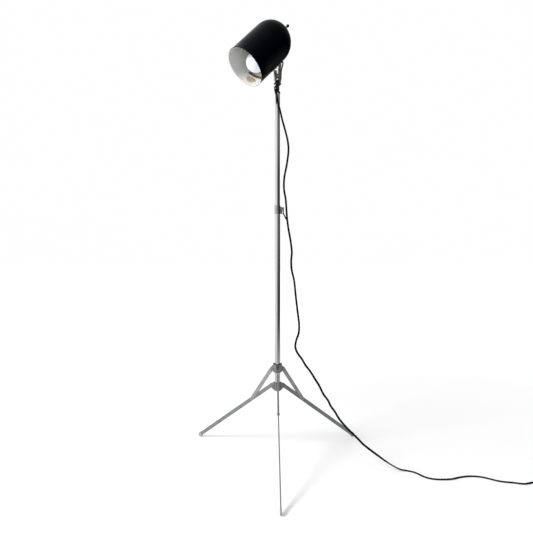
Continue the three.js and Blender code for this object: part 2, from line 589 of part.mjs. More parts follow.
const headPoint = (x, y, z) => headX.clone().multiplyScalar(x).addScaledVector(headY, y).addScaledVector(up, z).toArray();
const aroundMast = (azimuth, r, z) => [r * Math.cos(rad(azimuth)), r * Math.sin(rad(azimuth)), z];
const exit = inShade(SHADE_R + 2.6, 0, GROMMET_S).toArray();
emit('cord_lead', tube([exit, headPoint(22.6, 0.6, 1411), headPoint(20.4, 2, 1400), headPoint(16.4, 2.6, 1384),
  headPoint(14.8, 2, 1366), headPoint(14.2, 1.6, 1353)], 12), CORD);
emit('cord_wrap', tube([headPoint(14.1, 2, 1350), aroundMast(62, 14.6, 1343), aroundMast(95, 14, 1335),
  aroundMast(140, 13.4, 1325), aroundMast(185, 13.2, 1316), aroundMast(225, 13.4, 1305.5), aroundMast(252, 13.4, 1290),
  aroundMast(272, 12.6, 1268), aroundMast(290, 12.6, 1250)], 10), CORD);

const CORD_ROUTE = [
  [5.5, -12.0, 1246], [10, -12.7, 1228], [17, -14, 1197], [28, -16, 1156], [35, -17, 1127], [38.4, -18, 1096],
  [36.6, -19, 1069], [31, -21, 1032], [23, -22.5, 989], [22.6, -24, 948], [28, -25, 917], [31.2, -27.6, 869],
  [32.6, -28.7, 850], [37, -31, 814], [45, -34.5, 767], [49, -37.5, 728], [46.6, -40, 699], [47.8, -43, 670],
  [56.3, -47, 630], [61.7, -52.7, 576], [68, -59.6, 519], [72.2, -64.6, 480], [70.5, -68.3, 452], [61.8, -71.7, 427],
  [58.5, -74.4, 405], [65.5, -76.5, 386], [79.6, -78.5, 367], [92.6, -80.7, 345], [107.6, -82.5, 326],
  [124, -85, 300], [138, -87, 278], [152, -90, 250], [168, -91.7, 228], [176, -93, 211], [188, -94.4, 195],
  [204, -96, 169], [224, -97.4, 145], [244, -98.5, 125], [268, -100, 102], [280, -100.6, 89], [328, -102, 52],
  [376, -103, 19], [405, -105, 6], [428, -108, 2.4], [447, -118, 2.4], [472, -150, 2.4], [494, -161.5, 2.4],
  [546, -162.5, 2.4], [585, -149.5, 2.4], [620, -143.5, 2.4], [653, -149, 2.4], [697, -175, 2.4], [732, -183, 2.4],
  [765, -190.5, 2.4], [797, -182, 2.4], [824, -178.2, 2.4], [846.5, -177.8, 2.4],
];
emit('cord_tube', tube(CORD_ROUTE, 64), CORD);

const COIL = { x: 866, y: -150, r0: 17, r1: 31 };
const coilFrame = new THREE.Matrix4().makeTranslation(COIL.x, COIL.y, 0);
emit('cord_coil', turned([[COIL.r0 + 2, 0.1], [COIL.r1 - 2, 0.1], [COIL.r1, 3], [COIL.r1, 8], [COIL.r1 - 2, 10.8],
  [COIL.r0 + 2, 10.8], [COIL.r0, 8], [COIL.r0, 3]], coilFrame, 24), CORD);
emit('cord_tie', cut(
  box(COIL.r0 - 1.6, COIL.r1 + 1.6, -3, 3, 0.05, 12.2, coilFrame),
  box(COIL.r0 - 0.4, COIL.r1 + 0.4, -8, 8, -0.4, 11.2, coilFrame),
), BLACK_PLASTIC);
{
  const at = new THREE.Matrix4().makeTranslation(COIL.x + 27.6, COIL.y + 19.4, 0);
  emit('plug_body', cut(
    plate(hull([[-3, 0], [3, 0], [-12, 9], [12, 9], [-12, 26], [12, 26]]), 0.1, 13.5, at),
    box(-8.2, -4.6, 22, 30, 3.2, 10.4, at),
    box(4.6, 8.2, 22, 30, 3.2, 10.4, at),
  ), BLACK_PLASTIC);
  for (const [i, x] of [[1, -6.4], [2, 6.4]]) {
    emit(`plug_blade_${i}`, box(x - 0.75, x + 0.75, 22.3, 42, 3.6, 10, at), BRASS);
  }
}

export default group;
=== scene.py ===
import json
import math

import bmesh
import bpy
from mathutils import Matrix, Vector


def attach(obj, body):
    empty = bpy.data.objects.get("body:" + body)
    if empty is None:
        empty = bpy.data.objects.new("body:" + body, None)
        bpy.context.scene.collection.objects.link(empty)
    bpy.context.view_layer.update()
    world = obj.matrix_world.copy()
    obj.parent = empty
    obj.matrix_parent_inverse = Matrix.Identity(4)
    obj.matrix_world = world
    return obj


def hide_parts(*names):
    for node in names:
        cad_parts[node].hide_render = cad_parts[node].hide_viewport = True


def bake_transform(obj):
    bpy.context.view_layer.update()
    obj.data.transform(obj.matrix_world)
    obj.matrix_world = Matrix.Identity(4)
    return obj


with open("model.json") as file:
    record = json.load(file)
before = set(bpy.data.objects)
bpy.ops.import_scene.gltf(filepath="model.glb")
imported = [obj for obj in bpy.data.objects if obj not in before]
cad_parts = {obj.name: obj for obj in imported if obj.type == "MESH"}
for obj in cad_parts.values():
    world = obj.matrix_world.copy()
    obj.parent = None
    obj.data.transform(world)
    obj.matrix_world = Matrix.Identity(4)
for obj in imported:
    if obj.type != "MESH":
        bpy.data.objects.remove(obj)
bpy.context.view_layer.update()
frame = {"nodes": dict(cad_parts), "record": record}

# millimetres and degrees
MM = 0.001
MAST_Y = 88.37  # the mast's axis, behind the centre of the footprint
HEAD_AZIMUTH = 25.85
SHADE_RISE = 47.34  # the shade's axis above horizontal
SHADE_R = 72.4
SHADE_WALL = 1.0
SHADE_LENGTH = 146.0  # rim to dome centre
BULB_CENTRE = (12, 0, -99)  # in the shade's frame
GROMMET_S = -10
FLAT_W = 7.2  # the cord's section
FLAT_T = 3.1
CAMERA_AT = (-39.35, -1480, 679)
CAMERA_LENS = 27.94
CAMERA_SENSOR = 36


def row(x, y, z):
    """Millimetres about the mast's axis to the row frame."""
    return Vector((x * MM, (y + MAST_Y) * MM, z * MM))


# ---------------------------------------------------------------- frames
HX = Vector((math.cos(math.radians(HEAD_AZIMUTH)), math.sin(math.radians(HEAD_AZIMUTH)), 0))
HY = Vector((-HX.y, HX.x, 0))
UP = Vector((0, 0, 1))
rise = math.radians(SHADE_RISE)
AXIS = HX * math.cos(rise) + UP * math.sin(rise)
DOWN = HX * math.sin(rise) - UP * math.cos(rise)
DOME = HX * -27.4 + UP * 1472.08


def basis(x, y, z, at):
    m = Matrix((x, y, z)).transposed().to_4x4()
    m.translation = at
    return m


SHADE = basis(DOWN, HY, AXIS, DOME)


def along(at, direction):
    m = Vector((0, 0, 1)).rotation_difference(direction).to_matrix().to_4x4()
    m.translation = at
    return m


APEX = SHADE @ Vector((0, 0, SHADE_R))
BULB = along(APEX, (SHADE @ Vector(BULB_CENTRE) - APEX).normalized())


# ---------------------------------------------------------------- camera
cam_data = bpy.data.cameras.new("camera")
cam = bpy.data.objects.new("camera", cam_data)
bpy.context.collection.objects.link(cam)
cam.location = row(*CAMERA_AT)
cam.rotation_euler = (math.pi / 2, 0, 0)
cam_data.sensor_width = CAMERA_SENSOR
cam_data.lens = CAMERA_LENS
cam_data.clip_end = 100
bpy.context.scene.camera = cam


# ---------------------------------------------------------------- materials
def material(name, base, metallic=0.0, roughness=0.5, coat=0.0, spec=0.5):
    m = bpy.data.materials.new(name)
    m.use_nodes = True
    nt = m.node_tree
    b = nt.nodes["Principled BSDF"]
    b.inputs["Base Color"].default_value = (*base, 1)
    b.inputs["Metallic"].default_value = metallic
    b.inputs["Roughness"].default_value = roughness
    b.inputs["Coat Weight"].default_value = coat
    b.inputs["Specular IOR Level"].default_value = spec
    return m, nt, b


def noise(nt, scale, stretch=(1, 1, 1), detail=4.0, rough=0.55):
    tc = nt.nodes.new("ShaderNodeTexCoord")
    mp = nt.nodes.new("ShaderNodeMapping")
    mp.inputs["Scale"].default_value = stretch
    n = nt.nodes.new("ShaderNodeTexNoise")
    n.inputs["Scale"].default_value = scale
    n.inputs["Detail"].default_value = detail
    n.inputs["Roughness"].default_value = rough
    nt.links.new(tc.outputs["Object"], mp.inputs["Vector"])
    nt.links.new(mp.outputs["Vector"], n.inputs["Vector"])
    return n.outputs["Fac"]


def ramp(nt, fac, stops):
    r = nt.nodes.new("ShaderNodeValToRGB")
    els = r.color_ramp.elements
    while len(els) < len(stops):
        els.new(0.5)
    for e, (p, c) in zip(els, stops):
        e.position = p
        e.color = (*c, 1) if len(c) == 3 else c
    nt.links.new(fac, r.inputs["Fac"])
    return r.outputs["Color"]


def remap(nt, value, source, target=(0, 1)):
    """A value's source range stretched onto the target range, and held at its ends."""
    r = nt.nodes.new("ShaderNodeMapRange")
    r.inputs["From Min"].default_value, r.inputs["From Max"].default_value = source
    r.inputs["To Min"].default_value, r.inputs["To Max"].default_value = target
    nt.links.new(value, r.inputs["Value"])
    return r.outputs["Result"]


def spread(nt, fac, low, high):
    """A noise value's middle part stretched onto low to high."""
    return remap(nt, fac, (0.3, 0.7), (low, high))


def mixed(nt, factor, a, b, blend="MIX"):
    """Colours a and b mixed; the factor and b can be a value or a socket."""
    m = nt.nodes.new("ShaderNodeMix")
    m.data_type = "RGBA"
    m.blend_type = blend
    for socket, source in ((m.inputs["Factor"], factor), (m.inputs[6], a), (m.inputs[7], b)):
        if isinstance(source, bpy.types.NodeSocket):
            nt.links.new(source, socket)
        else:
            socket.default_value = source
    return m.outputs[2]


def bump(nt, b, height, strength, distance):
    n = nt.nodes.new("ShaderNodeBump")
    n.inputs["Strength"].default_value = strength
    n.inputs["Distance"].default_value = distance
    nt.links.new(height, n.inputs["Height"])
    nt.links.new(n.outputs["Normal"], b.inputs["Normal"])


def grained(
    name, dark, light, metallic, rough, scale, stretch=(1, 1, 1), depth=0.00002, strength=0.25,
    coat=0.0, fine=None, spec=0.5
):
    """Colour and roughness that vary over the surface, with a fine relief."""
    m, nt, b = material(name, light, metallic, rough[0], coat, spec)
    wide = noise(nt, scale, stretch)
    small = noise(nt, fine or scale * 12, stretch, 3.0)
    nt.links.new(ramp(nt, wide, [(0.3, dark), (0.7, light)]), b.inputs["Base Color"])
    nt.links.new(spread(nt, small, *rough), b.inputs["Roughness"])
    bump(nt, b, small, strength, depth)
    return m


CHROME = grained(
    "chrome", (0.66, 0.67, 0.69), (0.76, 0.76, 0.77), 1, (0.07, 0.17), 9, stretch=(14, 14, 0.5),
    depth=0.000004, strength=0.15, fine=260
)
ZINC = grained(
    "zinc", (0.31, 0.32, 0.325), (0.43, 0.44, 0.445), 1, (0.30, 0.46), 40, depth=0.00001,
    strength=0.25, fine=1400
)
STEEL = grained(
    "steel", (0.44, 0.43, 0.42), (0.56, 0.55, 0.54), 1, (0.22, 0.36), 60, depth=0.00001,
    strength=0.2, fine=1200
)
CLAMP = grained(
    "clamp_steel", (0.52, 0.50, 0.48), (0.68, 0.66, 0.63), 1, (0.24, 0.38), 60, depth=0.00001,
    strength=0.2, fine=1200
)
# steel for the hub and collar, darkened and given strong light and dark blotches: painted shade and painted
# highlights that stand in for the dark gaps by the pins and their bright edges
HUB_PAINTED_SHADE = grained(
    "hub_steel_painted_shade", (0.20, 0.20, 0.20), (0.46, 0.46, 0.46), 1, (0.26, 0.42), 150, depth=0.00001,
    strength=0.25, fine=1200
)
DARK = grained(
    "dark_steel", (0.055, 0.05, 0.046), (0.11, 0.10, 0.09), 1, (0.32, 0.48), 90, depth=0.00001,
    strength=0.25, fine=1500
)
PLASTIC = grained(
    "black_plastic", (0.010, 0.010, 0.012), (0.018, 0.018, 0.020), 0, (0.26, 0.40), 70,
    depth=0.00002, strength=0.3, fine=1800
)
GREY_RUBBER = grained(
    "grey_rubber", (0.30, 0.30, 0.29), (0.38, 0.38, 0.37), 0, (0.5, 0.7), 80, depth=0.00004,
    strength=0.4, fine=1600
)
RUBBER = grained(
    "black_rubber", (0.016, 0.015, 0.014), (0.035, 0.033, 0.031), 0, (0.62, 0.82), 80,
    depth=0.00004, strength=0.4, fine=1600
)
NYLON = grained(
    "nylon", (0.62, 0.59, 0.53), (0.72, 0.69, 0.63), 0, (0.35, 0.5), 60, depth=0.00001, strength=0.2
)
BRASS = grained(
    "brass", (0.36, 0.27, 0.13), (0.52, 0.41, 0.22), 1, (0.22, 0.38), 60, depth=0.00001,
    strength=0.2, fine=1200
)
SHEATH = grained(
    "cord_sheath", (0.004, 0.004, 0.005), (0.009, 0.009, 0.010), 0, (0.42, 0.6), 30, depth=0.00002,
    strength=0.3, fine=900, spec=0.06
)
ENAMEL = grained(
    "black_enamel", (0.0003, 0.0005, 0.0012), (0.0006, 0.0009, 0.002), 0, (0.035, 0.085), 14,
    depth=0.0000035, strength=0.12, fine=240, spec=0.08
)
INSIDE = grained(
    "white_enamel", (0.58, 0.58, 0.55), (0.66, 0.66, 0.63), 0, (0.20, 0.34), 22, depth=0.00001,
    strength=0.2, fine=500
)
LABEL = grained(
    "copper_label", (0.42, 0.31, 0.22), (0.56, 0.44, 0.34), 0.35, (0.32, 0.5), 55, depth=0.00002,
    strength=0.3, fine=900
)
# a brownish band on the shade's inner wall just below the bulb, mottled darker and lighter
BROWN_BAND = grained(
    "brown_band", (0.15, 0.105, 0.055), (0.33, 0.26, 0.17), 0.5, (0.28, 0.44), 70, depth=0.00004,
    strength=0.4, fine=700
)

# long hairline scratches over the enamel
nt = ENAMEL.node_tree
b = nt.nodes["Principled BSDF"]
streaks = noise(nt, 120, (1, 18, 3), 2.0)
mix = nt.nodes.new("ShaderNodeMix")
mix.inputs["Factor"].default_value = 0.5
base_rough = b.inputs["Roughness"].links[0].from_socket
nt.links.new(base_rough, mix.inputs[2])
nt.links.new(spread(nt, streaks, 0.03, 0.16), mix.inputs[3])
nt.links.new(mix.outputs[0], b.inputs["Roughness"])

GLASS, nt, b = material("frosted_glass", (0.86, 0.89, 0.97), 0, 0.32)
nt.links.new(
    ramp(nt, noise(nt, 35), [(0.3, (0.66, 0.69, 0.79)), (0.7, (0.69, 0.72, 0.82))]),
    b.inputs["Base Color"]
)
nt.links.new(spread(nt, noise(nt, 900), 0.24, 0.40), b.inputs["Roughness"])
b.inputs["Subsurface Weight"].default_value = 0.6
b.inputs["Subsurface Radius"].default_value = (0.012, 0.012, 0.014)
b.inputs["Subsurface Scale"].default_value = 1.0
b.inputs["Emission Color"].default_value = (0.88, 0.91, 1.0, 1)
b.inputs["Emission Strength"].default_value = 0.0


# ---------------------------------------------------------------- mesh helpers
def new_piece(name, verts, faces, mats, body, nodes=(), smooth=True, face_mats=None):
    me = bpy.data.meshes.new(name)
    me.from_pydata([tuple(v) for v in verts], [], faces)
    me.validate()
    bm = bmesh.new()
    bm.from_mesh(me)
    bmesh.ops.recalc_face_normals(bm, faces=bm.faces)
    bm.to_mesh(me)
    bm.free()
    for m in mats if isinstance(mats, (list, tuple)) else [mats]:
        me.materials.append(m)
    for i, p in enumerate(me.polygons):
        p.use_smooth = smooth
        if face_mats:
            p.material_index = face_mats[i]
    o = bpy.data.objects.new(name, me)
    bpy.context.collection.objects.link(o)
    if body:
        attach(o, body)
    if nodes:
        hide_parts(*nodes)
    return o


def sharpen(o, angle=35, width=None, segments=2):
    """Bevels the edges sharper than angle."""
    if width:
        mod = o.modifiers.new("edges", "BEVEL")
        mod.width = width * MM
        mod.segments = segments
        mod.limit_method = "ANGLE"
        mod.angle_limit = math.radians(angle)
        mod.use_clamp_overlap = True
        mod.harden_normals = True
    return o


def turned(
    name, profile, place, mats, body, nodes=(), segments=72, width=None, face_mats=None,
    angle=35
):
    """Turned piece about place's Z, from [radius, height] in mm.

    The profile starts and ends on the axis, or closes on itself.
    """
    closed = profile[0][0] > 1e-6
    verts, faces, idx, fm = [], [], [], []
    for r, z in profile:
        if r < 1e-6:
            idx.append([len(verts)] * segments)
            verts.append(place @ Vector((0, 0, z)))
        else:
            idx.append(list(range(len(verts), len(verts) + segments)))
            for k in range(segments):
                a = 2 * math.pi * k / segments
                verts.append(place @ Vector((r * math.cos(a), r * math.sin(a), z)))
    n = len(profile)
    for i in range(n if closed else n - 1):
        lo, hi = idx[i], idx[(i + 1) % n]
        for k in range(segments):
            j = (k + 1) % segments
            f = [lo[k], lo[j], hi[j], hi[k]]
            f = list(dict.fromkeys(f))
            if len(f) > 2:
                faces.append(f)
                fm.append(face_mats[i] if face_mats else 0)
    verts = [row(*v) for v in verts]
    o = new_piece(name, verts, faces, mats, body, nodes, face_mats=fm if face_mats else None)
    return sharpen(o, angle, width)


def refined(node, mats, width=0.25, segments=2, angle=32):
    """The node's own shape with clean faces, bevelled edges and smooth curves."""
    src = frame["nodes"][node]
    bm = bmesh.new()
    bm.from_mesh(src.data)
    bmesh.ops.remove_doubles(bm, verts=bm.verts, dist=1e-6)
    bmesh.ops.dissolve_limit(bm, angle_limit=math.radians(1.0), verts=bm.verts, edges=bm.edges)
    me = bpy.data.meshes.new(node + "_finish")
    bm.to_mesh(me)
    bm.free()
    me.materials.clear()
    me.materials.append(mats)
    for p in me.polygons:
        p.use_smooth = True
    me.set_sharp_from_angle(angle=math.radians(angle + 2))
    o = bpy.data.objects.new(node + "_finish", me)
    bpy.context.collection.objects.link(o)
    for bname, nodes in frame["record"]["behaviour"]["bodies"].items():
        if node in nodes:
            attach(o, bname)
    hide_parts(node)
    return sharpen(o, angle, width, segments)


# ---------------------------------------------------------------- cord
def smooth_path(points, step):
    """Centripetal-like curve through the points, sampled about every step mm."""
    pts = [Vector(p) for p in points]
    ext = [pts[0] * 2 - pts[1]] + pts + [pts[-1] * 2 - pts[-2]]
    out = []
    for i in range(1, len(ext) - 2):
        p0, p1, p2, p3 = ext[i - 1 : i + 3]
        t0 = 0.0
        t1 = t0 + max((p1 - p0).length, 1e-6) ** 0.5
        t2 = t1 + max((p2 - p1).length, 1e-6) ** 0.5
        t3 = t2 + max((p3 - p2).length, 1e-6) ** 0.5
        n = max(1, round((p2 - p1).length / step))
        for k in range(n):
            t = t1 + (t2 - t1) * k / n
            a1 = p0 * ((t1 - t) / (t1 - t0)) + p1 * ((t - t0) / (t1 - t0))
            a2 = p1 * ((t2 - t) / (t2 - t1)) + p2 * ((t - t1) / (t2 - t1))
            a3 = p2 * ((t3 - t) / (t3 - t2)) + p3 * ((t - t2) / (t3 - t2))
            b1 = a1 * ((t2 - t) / (t2 - t0)) + a2 * ((t - t0) / (t2 - t0))
            b2 = a2 * ((t3 - t) / (t3 - t1)) + a3 * ((t - t1) / (t3 - t1))
            out.append(b1 * ((t2 - t) / (t2 - t1)) + b2 * ((t - t1) / (t2 - t1)))
    out.append(pts[-1])
    return out


def flat_normal(p):
    """Which way the flat cord's broad face looks at a point."""
    radial = Vector((p.x, p.y, 0))
    radial = radial.normalized() if radial.length > 1 else Vector((0, -1, 0))
    hang = Vector((0.25, -1, 0)).normalized()
    w = min(max((p.z - 1180) / 70, 0), 1)
    n = hang.lerp(radial, w)
    f = min(max((70 - p.z) / 55, 0), 1)
    return n.lerp(Vector((0, 0, 1)), f).normalized()


def flat_section():
    half = FLAT_W / 2
    r = FLAT_T / 2
    c = half - r
    right = [
        (c + r * math.cos(math.radians(a)), r * math.sin(math.radians(a))) for a in range(-120, 121,
        24)
    ]
    left = [(-x, -y) for x, y in right]
    return right + left


def flat_cord(name, points, body_a, body_b, nodes, step=5.0):
    path = smooth_path(points, step)
    section = flat_section()
    verts, faces = [], []
    m = len(section)
    for i, p in enumerate(path):
        t = (path[min(i + 1, len(path) - 1)] - path[max(i - 1, 0)]).normalized()
        n = flat_normal(p)
        n = (n - t * n.dot(t)).normalized()
        side = t.cross(n)
        for x, y in section:
            q = p + side * x + n * y
            verts.append(row(q.x, q.y, q.z))
    for i in range(len(path) - 1):
        for k in range(m):
            j = (k + 1) % m
            faces.append([i * m + k, i * m + j, (i + 1) * m + j, (i + 1) * m + k])
    faces.append(list(range(m))[::-1])
    faces.append([(len(path) - 1) * m + k for k in range(m)])
    o = new_piece(name, verts, faces, SHEATH, None)
    if body_b:
        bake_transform(o)
    else:
        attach(o, body_a)
    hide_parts(*nodes)
    centre = [tuple(row(q.x, q.y, q.z)) for q in path]
    return o, centre, sum((path[i + 1] - path[i]).length for i in range(len(path) - 1)) * MM


def head(x, y, z):
    return HX * x + HY * y + UP * z


def around(azimuth, r, z):
    a = math.radians(azimuth)
    return Vector((r * math.cos(a), r * math.sin(a), z))


EXIT = SHADE @ Vector((SHADE_R - 0.5, 0, GROMMET_S))
LEAD = [
    EXIT, SHADE @ Vector((SHADE_R + 2.6, 0, GROMMET_S)), head(22.6, 0.6, 1411), head(20.4, 2, 1400),
    head(16.4, 2.6, 1384), head(14.8, 2, 1366), head(14.2, 1.6, 1353), head(14.1, 2, 1350)
]
WRAP = [
    head(14.1, 2, 1350), around(62, 15.6, 1343), around(95, 16.8, 1335), around(132, 14.2, 1325),
    around(185, 10.8, 1316), around(225, 12.3, 1305.5), around(252, 12.6, 1290), around(272, 12.6,
    1268), around(290, 12.9, 1250)
]
RUN = [
    around(290, 12.9, 1250), (5.5, -12.0, 1246), (10, -12.7, 1228), (17, -14, 1197),
    (28, -16, 1156), (35, -17, 1127), (38.4, -18, 1096), (36.6, -19, 1069), (31, -21, 1032),
    (23, -22.5, 989), (22.6, -24, 948), (28, -25, 917), (31.2, -27.6, 869), (32.6, -28.7, 850),
    (37, -31, 814), (45, -34.5, 767), (49, -37.5, 728), (46.6, -40, 699), (47.8, -43, 670),
    (56.3, -47, 630), (61.7, -52.7, 576), (68, -59.6, 519), (72.2, -64.6, 480), (70.5, -68.3, 452),
    (61.8, -71.7, 427), (58.5, -74.4, 405), (65.5, -76.5, 386), (79.6, -78.5, 367),
    (92.6, -80.7, 345), (107.6, -82.5, 326), (124, -85, 300), (138, -87, 278), (152, -90, 250),
    (168, -91.7, 228), (176, -93, 211), (188, -94.4, 195), (204, -96, 169), (224, -97.4, 145),
    (244, -98.5, 125), (268, -100, 102), (280, -100.6, 89), (328, -102, 52), (376, -103, 19),
    (405, -105, 5), (428, -108, 1.6), (447, -118, 1.6), (472, -150, 1.6), (494, -161.5, 1.6),
    (546, -162.5, 1.6), (585, -149.5, 1.6), (620, -143.5, 1.6), (653, -149, 1.6), (697, -175, 1.6),
    (732, -183, 1.6), (765, -190.5, 1.6), (797, -182, 1.6), (824, -178.2, 1.7),
    (846.5, -177.8, 1.8),
]
COIL_X, COIL_Y = 866, -150
# turns of the coil: (turns from its start, radius, height)
TURNS = [
    (0, 27.6, 1.9), (0.85, 27.6, 1.9), (1.15, 20.4, 1.9), (1.9, 20.4, 2.0), (2.1, 20.4, 5.2),
    (2.9, 20.4, 5.2), (3.1, 20.4, 8.4), (3.85, 20.4, 8.4), (4.15, 27.6, 8.4), (4.9, 27.6, 8.4),
    (5.1, 27.6, 5.4), (5.25, 27.6, 5.6),
]


def coil_points():
    out = []
    steps = 16
    total = TURNS[-1][0]
    i = 0
    count = int(total * steps)
    for k in range(count + 1):
        t = k * total / count
        while i < len(TURNS) - 2 and t > TURNS[i + 1][0]:
            i += 1
        t0, r0, z0 = TURNS[i]
        t1, r1, z1 = TURNS[i + 1]
        w = (t - t0) / (t1 - t0)
        w = w * w * (3 - 2 * w)
        a = math.radians(-90) + 2 * math.pi * t
        radius = r0 + (r1 - r0) * w
        out.append((COIL_X + radius * math.cos(a), COIL_Y + radius * math.sin(a), z0 + (z1 - z0) * w))
    return out


coil = coil_points()
RUN = RUN + coil + [(COIL_X + 27.7, COIL_Y + 9, 6.2), (COIL_X + 27.6, COIL_Y + 20.5, 6.7)]

lead, lead_path, lead_length = flat_cord(
    "flex_lead", LEAD, "shade", "clamp", ["cord_lead"], 2.5
)
wrap, wrap_path, wrap_length = flat_cord(
    "flex_wrap", WRAP, "clamp", "upper_mast", ["cord_wrap"], 2.5
)
run, run_path, run_length = flat_cord(
    "flex_run", RUN, "upper_mast", "base", ["cord_tube",
    "cord_coil"], 5.0
)

plug = refined("plug_body", PLASTIC, 1.2, 3)
blades = [refined(f"plug_blade_{i}", BRASS, 0.3, 2) for i in (1, 2)]
tie = refined("cord_tie", PLASTIC, 0.3, 2)
grommet = refined("cord_grommet", RUBBER, 0.2, 2)

# ---------------------------------------------------------------- tripod
# the hub and collar get the steel with painted shade and highlights in its colour
for node in ("leg_hub", "brace_collar"):
    refined(node, HUB_PAINTED_SHADE, 0.3, 2)
for side in ("front", "right", "left"):
    refined(f"leg_{side}", ZINC, 0.35, 3)
    refined(f"brace_{side}", STEEL, 0.25, 2)
    refined(f"foot_tip_{side}", GREY_RUBBER, 0.4, 3)
    for pin in ("leg_pin", "brace_rivet", "collar_pin"):
        refined(f"{pin}_{side}", STEEL, 0.3, 3)
refined("collar_lock_clip", DARK, 0.3, 2)

# ---------------------------------------------------------------- mast
upright = Matrix.Identity(4)
turned(
    "lower_tube_finish", [(9.05, 237), (9.3, 237), (9.5, 237.2), (9.5, 884.7), (9.35, 884.95),
    (9.05, 885)], upright, CHROME, "base", ["lower_tube"], 96, 0.05
)
turned(
    "upper_tube_finish", [(8.0, 650), (8.6, 650), (8.75, 650.3), (8.75, 1297.7), (8.6, 1298),
    (8.0, 1298)], upright, CHROME, "upper_mast", ["upper_tube"], 96, 0.05
)
refined("tube_end_plug", PLASTIC, 0.2, 2)
refined("guide_bush", NYLON, 0.3, 2)
turned(
    "top_stud_finish", [(0, 1284), (7.7, 1284), (7.7, 1298.3), (9.6, 1298.3), (10.2, 1298.9),
    (10.2, 1302.4), (9.6, 1303), (7.0, 1303), (6.75, 1303.3), (6.75, 1344.2), (6.4, 1344.8),
    (5.9, 1345), (0, 1345)], upright, DARK, "upper_mast", ["top_stud"], 72, 0.15
)
refined("lock_collar", STEEL, 0.2, 2)
refined("lock_rivet", STEEL, 0.3, 3)
refined("lock_lever", PLASTIC, 0.7, 3)

# ---------------------------------------------------------------- head
for node in ("clamp_arm", "clamp_handle", "shade_bracket"):
    refined(node, CLAMP, 0.2, 2)
for node in ("clamp_pin", "tilt_rivet", "bracket_screw_1", "bracket_screw_2"):
    refined(node, STEEL, 0.25, 3)
for node in ("arm_jaw_tip", "handle_jaw_tip"):
    refined(node, RUBBER, 0.3, 3)


def wire(name, points, r, mat, sides=12, step=0.6):
    path = smooth_path(points, step)
    verts, faces = [], []
    n = None
    for i, p in enumerate(path):
        t = (path[min(i + 1, len(path) - 1)] - path[max(i - 1, 0)]).normalized()
        if n is None:
            n = t.orthogonal().normalized()
        n = (n - t * n.dot(t)).normalized()
        side = t.cross(n)
        for k in range(sides):
            a = 2 * math.pi * k / sides
            q = p + side * (r * math.cos(a)) + n * (r * math.sin(a))
            verts.append(row(q.x, q.y, q.z))
    for i in range(len(path) - 1):
        for k in range(sides):
            j = (k + 1) % sides
            faces.append([i * sides + k, i * sides + j, (i + 1) * sides + j, (i + 1) * sides + k])
    faces.append(list(range(sides))[::-1])
    faces.append([(len(path) - 1) * sides + k for k in range(sides)])
    return new_piece(name, verts, faces, mat, None)


PIN = (-0.5, 1362)
spring_pts = [(8.7, 13, -2.1), (5.6, 6, -2.0)]
for i in range(41):
    a = -0.35 - i / 40 * 2 * math.pi * 2.5
    spring_pts.append((2.7 * math.cos(a), 2.7 * math.sin(a), (i / 40 - 0.5) * 3.75))
spring_pts += [(-5.2, 6, 2.0), (-10.6, 13, 2.1)]
spring = wire("clamp_spring_wire", [head(PIN[0] + x, -d, PIN[1] + z) for x, z, d in spring_pts], 0.55, DARK)
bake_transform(spring)
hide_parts("clamp_spring")

# shade, black outside and white inside, without the holes, which its fittings would cover
R = SHADE_R
RI = SHADE_R - SHADE_WALL
rim = -SHADE_LENGTH
inner = [(RI * math.sin(math.radians(a)), RI * math.cos(math.radians(a))) for a in range(0, 91, 5)]
inner[0] = (0, RI)
inner += [(RI, z) for z in (-30, -70, -110, rim + 1.9)]
bead = [
    (RI - 0.3, rim + 0.9), (RI - 0.1, rim + 0.35), (RI + 0.3, rim + 0.05), (RI + 0.8, rim),
    (R + 0.3, rim + 0.1), (R + 0.6, rim + 0.5), (R + 0.6, rim + 1.2), (R + 0.2, rim + 1.8)
]
outer = [(R, z) for z in (rim + 2.4, -110, -70, -30)]
outer += [(R * math.sin(math.radians(a)), R * math.cos(math.radians(a))) for a in range(90, -1, -5)]
outer[-1] = (0, R)
profile = inner + bead + outer
WHITE_BEAD = 2  # the inner coat runs over this much of the rolled rim
marks = [1] * (len(inner) + WHITE_BEAD) + [0] * (len(bead) - WHITE_BEAD + len(outer))
turned(
    "shade_shell", profile, SHADE, [ENAMEL, INSIDE], "shade", ["shade"], 144, None,
    marks[: len(profile) - 1]
)

BULB_R = 34
BULB_MIDDLE = 171.4  # along the bulb's axis, from the apex
globe = [(0, 118), (12.6, 118), (13.3, 119.5), (13.5, 122), (14.6, 126), (16.6, 130), (19.2, 134.2)]
globe += [(22.2, 138.8), (25.3, 144), (28.2, 150)]
for degrees in range(62, 180, 6):
    a = math.radians(degrees)
    globe.append((BULB_R * math.sin(a), BULB_MIDDLE - BULB_R * math.cos(a)))
globe.append((0, BULB_MIDDLE + BULB_R))
turned("bulb_globe", globe, BULB, GLASS, "shade", ["bulb_glass"], 96)
threads = [(0, 95.4), (4, 95.4), (5, 97.4), (11.2, 99), (12.2, 100.2)]
for i in range(5):
    z = 101.2 + i * 3.2
    threads += [(13.2, z), (13.2, z + 0.9), (12.2, z + 1.7), (12.2, z + 2.4)]
threads += [(13.2, 117.5), (0, 117.5)]
turned("bulb_base_thread", threads, BULB, STEEL, "shade", ["bulb_base"], 72)
ribs = [(0, 58), (11.4, 58), (13, 58.8), (17, 63), (19.0, 72), (19.5, 74)]
for i in range(5):
    z = 78 + i * 7
    ribs += [(20, z), (20, z + 5), (19.4, z + 5.4), (19.4, z + 6.6)]
ribs += [(20, 113.5), (20, 119.4), (19.4, 120), (14.3, 120), (13.7, 119.4), (13.7, 95), (0, 95)]
turned("lampholder", ribs, BULB, PLASTIC, "shade", ["socket_body"], 72)
refined("socket_nipple", BRASS, 0.2, 2)
refined("apex_nut", PLASTIC, 0.4, 3)


def toward(angle):
    return (SHADE @ Vector((0, -math.sin(math.radians(angle)), math.cos(math.radians(angle))))) - DOME


